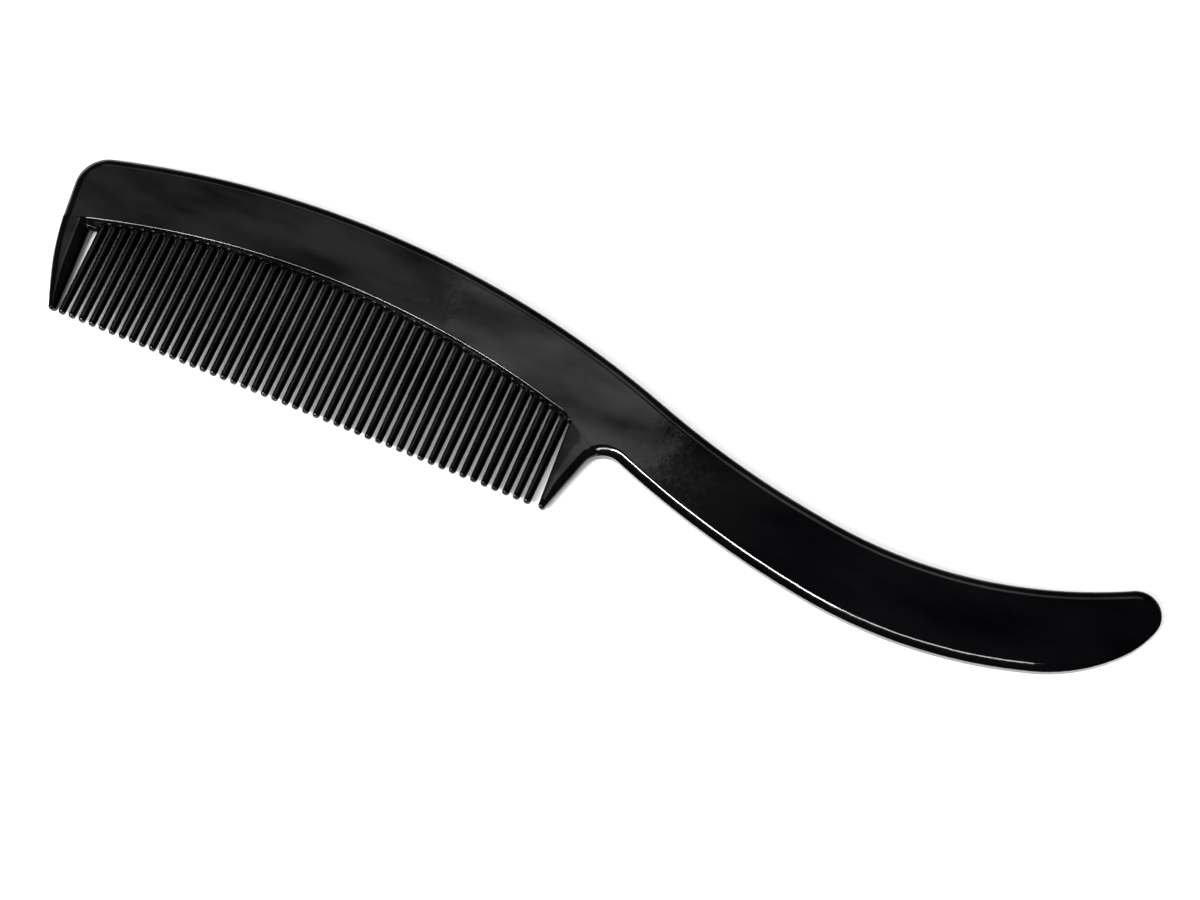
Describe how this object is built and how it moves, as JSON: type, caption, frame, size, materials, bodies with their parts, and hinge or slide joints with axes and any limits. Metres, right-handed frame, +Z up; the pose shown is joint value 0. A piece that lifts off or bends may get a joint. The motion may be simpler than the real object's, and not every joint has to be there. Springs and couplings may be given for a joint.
{
  "type": "comb",
  "caption": "Handled dressing comb moulded in one piece: arched back, S-curved handle, two guard teeth and a single row of even teeth for detangling and combing hair.",
  "frame": {"origin": "centre of the comb's length and width, on the flat underside it lies on", "axes": "+X along the line of the tooth tips, from the toe guard tooth towards the handle; +Y from the tooth tips towards the back; +Z up through the thickness"},
  "size_m": [0.2134, 0.0369, 0.004],
  "materials": {
    "comb_plastic": "polished injection-moulded black plastic with faint moulding haze"
  },
  "bodies": {
    "root": {"spine": "comb_plastic", "root_band": "comb_plastic", "toe_guard_tooth": "comb_plastic", "heel_guard_tooth": "comb_plastic", "handle": "comb_plastic", "tooth_01": "comb_plastic", "tooth_02": "comb_plastic", "tooth_03": "comb_plastic", "tooth_04": "comb_plastic", "tooth_05": "comb_plastic", "tooth_06": "comb_plastic", "tooth_07": "comb_plastic", "tooth_08": "comb_plastic", "tooth_09": "comb_plastic", "tooth_10": "comb_plastic", "tooth_11": "comb_plastic", "tooth_12": "comb_plastic", "tooth_13": "comb_plastic", "tooth_14": "comb_plastic", "tooth_15": "comb_plastic", "tooth_16": "comb_plastic", "tooth_17": "comb_plastic", "tooth_18": "comb_plastic", "tooth_19": "comb_plastic", "tooth_20": "comb_plastic", "tooth_21": "comb_plastic", "tooth_22": "comb_plastic", "tooth_23": "comb_plastic", "tooth_24": "comb_plastic", "tooth_25": "comb_plastic", "tooth_26": "comb_plastic", "tooth_27": "comb_plastic", "tooth_28": "comb_plastic", "tooth_29": "comb_plastic", "tooth_30": "comb_plastic", "tooth_31": "comb_plastic", "tooth_32": "comb_plastic", "tooth_33": "comb_plastic", "tooth_34": "comb_plastic", "tooth_35": "comb_plastic", "tooth_36": "comb_plastic", "tooth_37": "comb_plastic", "tooth_38": "comb_plastic", "tooth_39": "comb_plastic", "tooth_40": "comb_plastic", "tooth_41": "comb_plastic", "tooth_42": "comb_plastic", "tooth_43": "comb_plastic", "tooth_44": "comb_plastic", "tooth_45": "comb_plastic", "tooth_46": "comb_plastic"}
  },
  "joints": []
}
